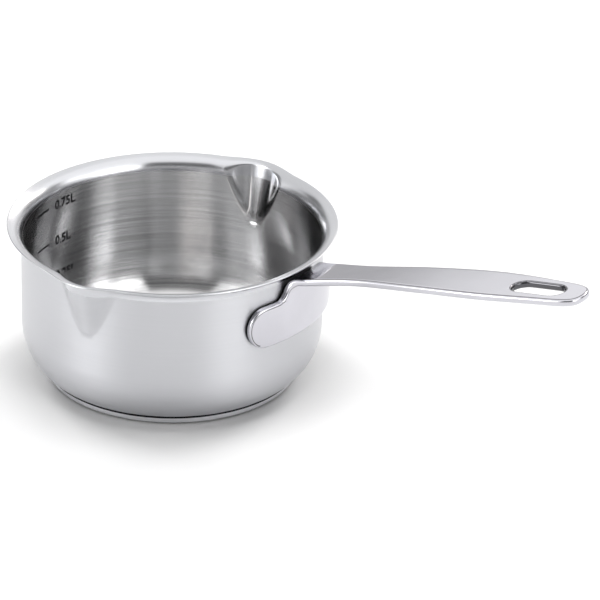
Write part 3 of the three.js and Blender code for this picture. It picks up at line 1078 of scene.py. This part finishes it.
def ring_metal(name, colour, look, gaps=None):
    """A metal finished in rings about the pan's axis, and smoother where it is polished.

    With a reach and two heights as gaps, the polish is also brighter, narrow gaps get painted
    shade, and the joint between the heights gets a band of painted shade.
    """
    material, tree, shader = new_material(name)
    polish = stored(tree, "polish")
    lines = ring_lines(tree, *look["rings"])
    shade = ramp(tree, lines, shaded(colour, look["shades"]))
    if gaps:
        reach, low, high = gaps
        shade = mix_colours(tree, polish, shade, tuple(colour), "MIX")
        # Painted shade in the gaps and in the band at the joint
        shade = painted_joint_shade(tree, painted_gap_shade(tree, shade, reach), low, high)
    rough = ramp(tree, lines, look["rough"])
    strength = blend_values(tree, polish, look["strength"], 0.0)
    tangent = add_node(tree, "ShaderNodeTangent", direction_type="RADIAL", axis="Z")
    inputs = {
        "Base Color": shade,
        "Metallic": 1.0,
        "Roughness": blend_values(tree, polish, rough, look["polished"]),
        "Anisotropic": look["spread"],
        "Anisotropic Rotation": QUARTER_TURN,
        "Tangent": tangent.outputs[0],
        "Normal": relief(tree, lines, strength, look["depth"]),
    }
    feed_all(tree, shader, inputs)
    return material


def etched_ink(name, colour):
    """A dull dark etched mark."""
    material, tree, shader = new_material(name)
    grain = noise(tree, object_place(tree), MARK_GRAINS, 2.0)
    shade = ramp(tree, grain, shaded(colour, MARK_SHADES))
    feed_all(tree, shader, {"Base Color": shade, "Roughness": 0.8, "Specular IOR Level": 0.1})
    return material


# The steps that build the pan


# Heights of the painted joint shade above and below the cap's upper edge, and a height past the
# cap
JOINT_ON_BODY, JOINT_ON_CAP, PAST_CAP = 0.3 * MM, 0.5 * MM, 1 * MM
# The numbers beside the tick lines, from the lowest up
LITRES = ("0.25L", "0.5L", "0.75L")
# How much the letters are thickened, in font units, and the fineness of their curves
LETTER_SWELL, LETTER_STEPS = 0.03, 4


def spin(name, p, outline, outside, inside, changes=None):
    """A closed piece spun from an outline, with the body's spouts unless they are changed."""
    tree, ids = spun_tree()
    holder = outline_object(outline)
    inputs = {
        "Outline": holder,
        "Steps": p.steps,
        "Inner Radius": p.inner_radius,
        "Outer Radius": p.inner_radius + p.sheet,
        "Rim Height": p.rim_height,
        "Brushed Top": p.brushed_top,
        "Spout Bottom": p.spout_bottom,
        "Spout Push": p.spout_push,
        "Spout Half Width": p.spout_half,
        "Spout Rounding": p.spout_rounding,
        "Spout Blend": p.spout_blend,
        "Spout Lip Blend": p.lip_blend,
        "Lip Swell": p.swell,
        "Lip Swell Half Width": p.swell_half,
        "Lip Start": lip_start_height(p),
        "Crowding": p.crowding,
        "Outside": outside,
        "Inside": inside,
        **(changes or {}),
    }
    piece = from_nodes(name, tree, ids, inputs)
    bpy.data.objects.remove(holder)
    point_outwards(piece)
    return piece


class SAUCEPAN_OT_body(bpy.types.Operator):
    """Makes the spun body with its lip and spouts"""

    bl_idname = "saucepan.body"
    bl_label = "Pan body"

    def execute(self, context):
        p, _, _, finish, _ = settings(context)
        # Painted shade in the body's gaps, and a band of painted shade from its foot to just
        # above the cap's edge
        gaps = (BODY_GAP, 0.0, cap_top(p) + JOINT_ON_BODY)
        satin = ring_metal("satin_body_steel", finish.outside, SATIN, gaps)
        brushed = ring_metal("ring_brushed_steel", finish.inside, BRUSHED)
        piece = spin("spun_body", p, body_outline(p), satin, brushed)
        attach(piece, "root")
        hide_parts("pan_body")
        return {"FINISHED"}


class SAUCEPAN_OT_base(bpy.types.Operator):
    """Makes the base cap and finishes the core and the welds"""

    bl_idname = "saucepan.base"
    bl_label = "Sandwich base"

    def execute(self, context):
        p, _, _, finish, _ = settings(context)
        # Painted shade in the cap's gaps, at its foot on the floor too, and a band of painted
        # shade at its upper edge
        gaps = (CAP_GAP, cap_top(p) - JOINT_ON_CAP, cap_top(p) + PAST_CAP)
        steel = ring_metal("base_cap_steel", finish.cap, SATIN, gaps)
        # Nothing brushed, pressed out or swollen, and even steps
        no_spouts = {
            "Brushed Top": -1.0,
            "Spout Bottom": p.rim_height - MM,
            "Spout Push": 0.0,
            "Spout Rounding": 1.0,
            "Spout Lip Blend": p.spout_blend,
            "Lip Swell": 0.0,
            "Lip Start": p.rim_height,
            "Crowding": 0.0,
        }
        piece = spin("base_cap_shell", p, cap_outline(p), steel, steel, no_spouts)
        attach(piece, "root")
        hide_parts("base_cap")
        aluminium = metal("core_aluminium", finish.core, CORE_FACE)
        weld = metal("weld_steel", finish.weld, WELD_FACE)
        for name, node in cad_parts.items():
            if name == "core_disc" or name.startswith("weld_nugget"):
                node.data.materials.clear()
                node.data.materials.append(aluminium if name == "core_disc" else weld)
        return {"FINISHED"}


class SAUCEPAN_OT_handle(bpy.types.Operator):
    """Makes the handle, folded from one flat blank"""

    bl_idname = "saucepan.handle"
    bl_label = "Handle"

    def execute(self, context):
        p, h, _, finish, _ = settings(context)
        piece = new_object("folded_handle", handle_mesh(p, h))
        # Painted shade in the gaps by the wall and on the slot's walls, and a painted dark
        # reflection line along the edges
        steel = metal("polished_handle_steel", finish.handle, HANDLE_FACE, HANDLE_GAP)
        piece.data.materials.append(steel)
        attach(piece, "root")
        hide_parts("handle")
        return {"FINISHED"}


class SAUCEPAN_OT_marks(bpy.types.Operator):
    """Makes the litre marks inside the wall, opposite the handle"""

    bl_idname = "saucepan.marks"
    bl_label = "Litre marks"

    def execute(self, context):
        p, _, m, finish, _ = settings(context)
        ink = etched_ink("etched_mark", finish.mark)
        tree, ids = tick_tree()
        inputs = {
            "Count": len(LITRES),
            "Lowest": m.lowest,
            "Spacing": m.spacing,
            "Start": m.tick_start,
            "End": m.tick_end,
            "Height": m.tick_height,
            "Radius": p.inner_radius,
            "Proud": 2 * m.proud,
            "Ink": ink,
        }
        ticks = from_nodes("litre_ticks", tree, ids, inputs)
        point_outwards(ticks)
        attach(ticks, "root")
        for step, words in enumerate(LITRES):
            number = self.number(p, m, step, words, ink)
            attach(number, "root")
        return {"FINISHED"}

    def number(self, p, m, step, words, ink):
        """One number as flat letters wrapped on the wall."""
        text = bpy.data.curves.new("litre_text", "FONT")
        text.body = words
        text.resolution_u = LETTER_STEPS
        text.offset = LETTER_SWELL
        holder = new_object("litre_text", text)
        mesh = plain_mesh(holder)
        bpy.data.objects.remove(holder)
        flat = np.array([v.co for v in mesh.vertices])
        low, high = flat.min(0), flat.max(0)
        size = m.text_height / (high[1] - low[1])
        angle = m.text_start - (flat[:, 0] - low[0]) * m.text_unit / p.inner_radius
        radius = p.inner_radius - m.proud
        foot = m.lowest + step * m.spacing - 0.5 * m.text_height
        for vertex, a, y in zip(mesh.vertices, angle, flat[:, 1] - low[1]):
            vertex.co = (radius * math.cos(a), radius * math.sin(a), foot + y * size)
        mesh.materials.clear()
        mesh.materials.append(ink)
        mesh.name = "litre_number_" + str(step + 1)
        return new_object(mesh.name, mesh)


class SAUCEPAN_OT_stage(bpy.types.Operator):
    """Makes the floor, the studio light and the camera"""

    bl_idname = "saucepan.stage"
    bl_label = "Stage"

    def execute(self, context):
        _, _, _, finish, s = settings(context)
        self.floor(finish)
        self.world(context, s)
        self.lamps(s)
        self.camera(context, s)
        context.scene.view_settings.view_transform = "Standard"
        return {"FINISHED"}

    def floor(self, finish):
        """A wide pale floor that keeps the pan's shadow and is white to the camera."""
        mesh = bpy.data.meshes.new("studio_floor")
        half = FLOOR_HALF
        corners = [(-half, -half, 0), (half, -half, 0), (half, half, 0), (-half, half, 0)]
        mesh.from_pydata(corners, [], [(0, 1, 2, 3)])
        floor = new_object("studio_floor", mesh)
        material, tree, shader = new_material("pale_floor")
        dull = {"Roughness": FLOOR_ROUGHNESS, "Specular IOR Level": 0.0}
        feed_all(tree, shader, {"Base Color": (*finish.floor, 1.0), **dull})
        mesh.materials.append(material)

    def world(self, context, s):
        """A white light tent, open towards the camera, with brighter panels at its sides."""
        world = bpy.data.worlds.new("studio")
        world.use_nodes = True
        context.scene.world = world
        tree = world.node_tree
        look = tree.nodes.new("ShaderNodeTexCoord").outputs["Generated"]
        height = split(tree, look)["Z"]
        side, back = (
            add_node(
                tree, "ShaderNodeVectorMath", {0: look, 1: axis}, operation="DOT_PRODUCT"
            ).outputs["Value"]
            for axis in stage_axes(s)
        )
        bearing = calc(tree, "ARCTAN2", back, side)
        bearing = calc(tree, "MULTIPLY_ADD", bearing, 0.5 / math.pi, 0.5)

        def above(low, high):
            return soft_step(tree, height, *(math.sin(math.radians(v)) for v in (low, high)))

        tent = ramp(tree, bearing, tent_stops(LOW_PANELS))
        tent = mix_colours(tree, 1.0, tent, ramp(tree, height, LOW_RISE), "MULTIPLY")
        main = ramp(tree, bearing, tent_stops(MAIN_PANELS))
        tent = mix_colours(tree, above(*MAIN_FROM), tent, main, "MIX")
        warm = ramp(tree, bearing, tent_stops(WARM_PANEL))
        warm = mix_colours(tree, 1.0, warm, WARM, "MULTIPLY")
        window = calc(tree, "SUBTRACT", above(*WARM_FROM), above(*HIGH_FROM))
        tent = mix_colours(tree, window, tent, warm, "ADD")
        high = ramp(tree, bearing, tent_stops(HIGH_PANELS))
        tent = mix_colours(tree, above(*HIGH_FROM), tent, high, "MIX")
        tent = mix_colours(tree, above(*TOP_FROM), tent, (TOP_GLOW / FULL_GLOW,) * 3, "MIX")
        # Light on dull faces is dimmed, while the metal reflects the whole tent
        path = tree.nodes.new("ShaderNodeLightPath").outputs
        level = blend_values(tree, path["Diffuse Depth"], FULL_GLOW, DULL_SHARE * FULL_GLOW)
        feed_all(tree, tree.nodes["Background"], {"Color": tent, "Strength": level})

    def lamps(self, s):
        """Soft lamps above and behind that light the floor and don't show in the metal."""
        blockers = bpy.data.collections.new("floor_lamp_blockers")
        for name in ("spun_body", "base_cap_shell"):
            blockers.objects.link(bpy.data.objects[name])
        for name, bearing, elevation, distance, wide, glow in FLOOR_LAMPS:
            lamp = bpy.data.lights.new(name, "AREA")
            lamp.size = wide
            lamp.energy = glow * wide * wide * math.pi
            holder = new_object(name, lamp)
            turned, raised = s.azimuth + math.radians(bearing), math.radians(elevation)
            level = math.cos(raised)
            spot = Vector((level * math.cos(turned), level * math.sin(turned), math.sin(raised)))
            holder.location = distance * spot
            holder.rotation_euler = spot.to_track_quat("Z", "Y").to_euler()
            holder.visible_camera = False
            holder.visible_glossy = False
            holder.light_linking.blocker_collection = blockers

    def camera(self, context, s):
        """A long lens at the photograph's angle."""
        camera = bpy.data.cameras.new("camera")
        camera.sensor_width = SENSOR_WIDTH
        camera.lens = s.lens
        holder = new_object("camera", camera)
        right, away = stage_axes(s)
        back = -away * math.cos(s.elevation) + Vector((0, 0, math.sin(s.elevation)))
        up = away * math.sin(s.elevation) + Vector((0, 0, math.cos(s.elevation)))
        turned_right = right * math.cos(s.roll) + up * math.sin(s.roll)
        turned_up = up * math.cos(s.roll) - right * math.sin(s.roll)
        aim = right * s.aim_side + Vector((0, 0, s.aim_height))
        spot = aim + back * s.distance
        axes = Matrix((turned_right, turned_up, back)).transposed().to_4x4()
        holder.matrix_world = Matrix.Translation(spot) @ axes
        context.scene.camera = holder


class SAUCEPAN_PT_panel(bpy.types.Panel):
    """Lists the steps that build the saucepan"""

    bl_idname = "SAUCEPAN_PT_panel"
    bl_label = "Saucepan"
    bl_space_type = "VIEW_3D"
    bl_region_type = "UI"
    bl_category = "Saucepan"

    def draw(self, context):
        for step in STEPS:
            self.layout.operator(step.bl_idname)
        for group in settings(context):
            box = self.layout.box()
            for name in group.bl_rna.properties.keys():
                if name not in ("rna_type", "name"):
                    box.prop(group, name)


STEPS = (
    SAUCEPAN_OT_body,
    SAUCEPAN_OT_base,
    SAUCEPAN_OT_handle,
    SAUCEPAN_OT_marks,
    SAUCEPAN_OT_stage,
)
GROUPS = {
    "pan_sizes": PanSizes,
    "handle_sizes": HandleSizes,
    "mark_sizes": MarkSizes,
    "finishes": Finishes,
    "stage_set": StageSettings,
}


def register():
    for cls in (*GROUPS.values(), *STEPS, SAUCEPAN_PT_panel):
        bpy.utils.register_class(cls)
    for name, cls in GROUPS.items():
        setattr(bpy.types.Scene, name, PointerProperty(type=cls))


def unregister():
    for name in GROUPS:
        delattr(bpy.types.Scene, name)
    for cls in reversed((*GROUPS.values(), *STEPS, SAUCEPAN_PT_panel)):
        bpy.utils.unregister_class(cls)


def main():
    register()
    bpy.ops.saucepan.body()
    bpy.ops.saucepan.base()
    bpy.ops.saucepan.handle()
    bpy.ops.saucepan.marks()
    bpy.ops.saucepan.stage()
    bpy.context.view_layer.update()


if __name__ == "__main__":
    main()
